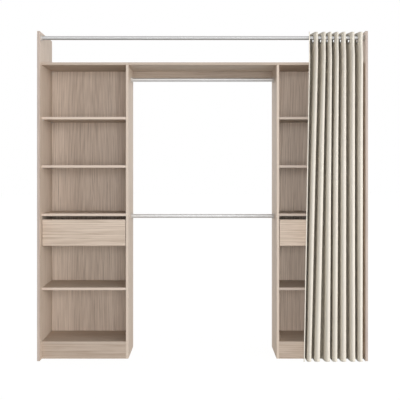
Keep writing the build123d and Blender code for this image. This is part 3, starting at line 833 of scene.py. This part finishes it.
def evenly(start, end, rows):
    """Levels from start to end in equal steps, without the start."""
    return [start + (end - start) * n / rows for n in range(1, rows + 1)]


levels = [curtain_high.z]
levels += evenly(curtain_high.z, header_bottom, header_rows)
levels += evenly(header_bottom, bend_level, bend_rows)
levels += evenly(bend_level, hem_top, fall_rows)
levels += evenly(hem_top, curtain_low.z, hem_rows)
print("levels", len(levels))

# %% The cloth sheet
slack_size = 0.25 * mm
slacks_per_metre = (9, 2.2)
sheet = bmesh.new()
flat_place = sheet.loops.layers.uv.new("flat_cloth")
grid = []
spots = {}
for height in levels:
    row = []
    slack_here = slack_size * eased(6 * fall_at(height))
    for u, (x, y) in zip(along_cloth, fold_line(height, kept_depth(height))):
        slack_place = (u * slacks_per_metre[0], height * slacks_per_metre[1], 4.0)
        slack = slack_here * noise.noise(slack_place)
        vert = sheet.verts.new((x + slack, y + slack, height))
        spots[vert] = (u, height)
        row.append(vert)
    grid.append(row)
for upper, lower in zip(grid, grid[1:]):
    for n in range(len(header_line) - 1):
        face = sheet.faces.new((upper[n], lower[n], lower[n + 1], upper[n + 1]))
        for loop in face.loops:
            loop[flat_place].uv = spots[loop.vert]
print("sheet", len(header_line), "by", len(levels), "points")

# %% [markdown]
# ## Punching the holes
#
# A punch takes out the cloth inside each eyelet. On the grid the faces round the eyelet's middle are
# taken out, and the ragged rim that they leave is drawn to a true circle, which the eyelet's flange
# covers.

# %% Holes
hole_radius = 23 * mm


def nearest_eyelet(point):
    """The middle of the eyelet that is closest to a point."""
    return min((centre for centre, _ in eyelet_places), key=lambda centre: (point - centre).length)


punched = []
for face in sheet.faces:
    point = face.calc_center_median()
    if point.z > header_bottom and (point - nearest_eyelet(point)).length < hole_radius:
        punched.append(face)
rims = {vert for face in punched for vert in face.verts}
bmesh.ops.delete(sheet, geom=punched, context="FACES")
for vert in rims:
    if vert.is_valid:
        centre = nearest_eyelet(vert.co)
        vert.co = centre + (vert.co - centre).normalized() * hole_radius
cloth_mesh = bpy.data.meshes.new("curtain_cloth")
sheet.to_mesh(cloth_mesh)
sheet.free()
cloth_mesh.shade_smooth()
print("punched out", len(punched), "faces")

# %% [markdown]
# ## Woven cloth
#
# The cloth is a plain weave of unbleached cotton and linen. Its threads vary in thickness, so the eye
# sees fine slubs along and across, and hardly any shine but a soft glow of fibres at the edge of a fold.
# The threads are half a millimetre apart. They are drawn 3 mm apart, and the slubs carry what shows from a
# distance. The hems and the header are sewn with a plain row of stitches. The sewing thread is drawn
# 1.5 mm wide, wider than it is, so that it shows.

# %% Stitching
side_hem = 22 * mm
stitch_length = 5 * mm
stitch_width = 1.5 * mm
stitch_share = 0.7
rows_across = [("Y", "X", place) for place in (header_bottom, hem_top)]
rows_upright = [("X", "Y", place) for place in (side_hem, cloth_width - side_hem)]


def stitching(material, flat, rows):
    """Dashes in straight rows. A row is the axis it is placed on, the one it runs along, and its place."""
    axes = add_node(material, "ShaderNodeSeparateXYZ", {0: flat}).outputs
    dashes = {}
    for along in ("X", "Y"):
        beat = {0: axes[along], 1: 1 / stitch_length}
        beat = add_node(material, "ShaderNodeMath", beat, operation="MULTIPLY").outputs[0]
        beat = add_node(material, "ShaderNodeMath", {0: beat}, operation="FRACT").outputs[0]
        dash = {0: beat, 1: stitch_share}
        dashes[along] = add_node(material, "ShaderNodeMath", dash, operation="LESS_THAN").outputs[0]
    stitches = 0.0
    for placed_on, along, place in rows:
        near = {0: axes[placed_on], 1: place, 2: stitch_width / 2}
        near = add_node(material, "ShaderNodeMath", near, operation="COMPARE").outputs[0]
        row = {0: near, 1: dashes[along]}
        row = add_node(material, "ShaderNodeMath", row, operation="MULTIPLY").outputs[0]
        both = {0: stitches, 1: row}
        stitches = add_node(material, "ShaderNodeMath", both, operation="MAXIMUM").outputs[0]
    return stitches


print("rows of stitches", len(rows_across + rows_upright))

# %% Curtain cloth
thread_spacing = 3 * mm
warp_slub = 9 * mm
weft_slub = 7 * mm


def woven_cloth(name, thread, shade, stitch):
    """Plain weave with slubs, and the stitching of the header and the hems."""
    material, shader = new_surface(name)
    flat = add_node(material, "ShaderNodeUVMap", uv_map="flat_cloth").outputs[0]
    threads = []
    for direction in ("X", "Y"):
        wave = {"Vector": flat, "Scale": wave_repeat / thread_spacing, "Distortion": 1.2, "Detail": 1.0}
        wave = add_node(material, "ShaderNodeTexWave", wave, bands_direction=direction)
        threads.append(wave.outputs["Fac"])
    weave = {0: threads[0], 1: threads[1]}
    weave = add_node(material, "ShaderNodeMath", weave, operation="MULTIPLY").outputs[0]
    warp = streaks(material, flat, (1, 0.05, 1), warp_slub, 3.0, (0.4, 0.7), 0.35)
    weft = streaks(material, flat, (0.06, 1, 1), weft_slub, 3.0, (0.4, 0.7), 0.25)
    slubs = {0: warp, 1: weft}
    slubs = add_node(material, "ShaderNodeMath", slubs, operation="ADD", use_clamp=True).outputs[0]
    stitches = stitching(material, flat, rows_across + rows_upright)

    colour = laid_over(material, thread, (slubs, shade), (stitches, stitch))
    material.node_tree.links.new(colour, shader.inputs["Base Color"])
    shader.inputs["Roughness"].default_value = 0.92
    shader.inputs["Sheen Weight"].default_value = 0.2
    shader.inputs["Sheen Roughness"].default_value = 0.5
    height = add_node(material, "ShaderNodeMath", {0: weave, 1: slubs}, operation="ADD").outputs[0]
    height = {0: height, 1: stitches}
    height = add_node(material, "ShaderNodeMath", height, operation="SUBTRACT").outputs[0]
    relief = {"Height": height, "Distance": 0.4 * mm, "Strength": 0.35}
    relief = add_node(material, "ShaderNodeBump", relief).outputs[0]
    material.node_tree.links.new(relief, shader.inputs["Normal"])
    return material


curtain_weave = woven_cloth("cotton_linen_plain_weave", "EDE6DA", "E2DBCD", "CDC4B4")
cloth_mesh.materials.append(curtain_weave)
print("woven", curtain_weave.name, "with", len(curtain_weave.node_tree.nodes), "nodes")

# %% [markdown]
# ## Thickness and hems
#
# A sheet of points has no thickness, and a real hem is folded over, so it is thicker than the cloth
# between. A solidify modifier gives both: it makes the hems 1.8 mm thick, and a vertex group tells it to
# make the rest thinner.

# %% Thickness
hem_thickness = 1.8 * mm
tolerance = 1 * mm
curtain = bpy.data.objects.new("curtain", cloth_mesh)
bpy.context.collection.objects.link(curtain)
doubled = curtain.vertex_groups.new(name="doubled_cloth")
flat_layer = cloth_mesh.uv_layers["flat_cloth"].data
for loop in cloth_mesh.loops:
    u, v = flat_layer[loop.index].uv
    at_level_hem = v > header_bottom + tolerance or v < hem_top - tolerance
    at_side_hem = u < side_hem or u > cloth_width - side_hem
    doubled.add([loop.vertex_index], 1.0 if at_level_hem or at_side_hem else 0.0, "REPLACE")
thicken = curtain.modifiers.new("thickness", "SOLIDIFY")
thicken.thickness = hem_thickness
thicken.offset = 0
thicken.vertex_group = "doubled_cloth"
thicken.thickness_vertex_group = cloth / hem_thickness
dressed = bpy.data.meshes.new_from_object(curtain.evaluated_get(bpy.context.evaluated_depsgraph_get()))
curtain.modifiers.clear()
curtain.data = dressed
print("curtain", len(dressed.polygons), "faces")

# %% [markdown]
# ## Eyelets
#
# An eyelet is two pressed rings of plated steel, clamped together through the hole. Each has a domed
# flange on its side of the cloth. The outline has both domes, and a waist between them that closes it.

# %% Eyelets
flange_half = 4 * mm
flange_lift = 0.8 * mm
flange_rise = 1.8 * mm
waist_radius = eyelet_bore + 1.2 * mm
dome_steps = 8
dome = []
for n in range(dome_steps + 1):
    turn = pi * n / dome_steps
    along = flange_lift + flange_rise * sin(turn)
    dome.append((along, eyelet_bore + flange_half * (1 + cos(turn))))
other_dome = [(-along, radius) for along, radius in reversed(dome)]
eyelet_outline = dome + other_dome + [(-flange_lift, waist_radius), (flange_lift, waist_radius)]
ring_places = [
    Matrix.Translation(centre) @ Matrix.Rotation(turn, 4, "Z") for centre, turn in eyelet_places
]
eyelets = turned_group(
    "curtain_eyelet_rings",
    eyelet_outline,
    ring_places,
    plated_steel,
    "curtain",
    closed=True,
)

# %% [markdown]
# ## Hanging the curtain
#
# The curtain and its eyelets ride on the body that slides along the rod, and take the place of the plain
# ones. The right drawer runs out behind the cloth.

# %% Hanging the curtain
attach(curtain, "curtain")
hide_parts("curtain_fabric")
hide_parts("curtain_eyelets")
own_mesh(curtain)
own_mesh(eyelets)
split_light(curtain, eyelets)
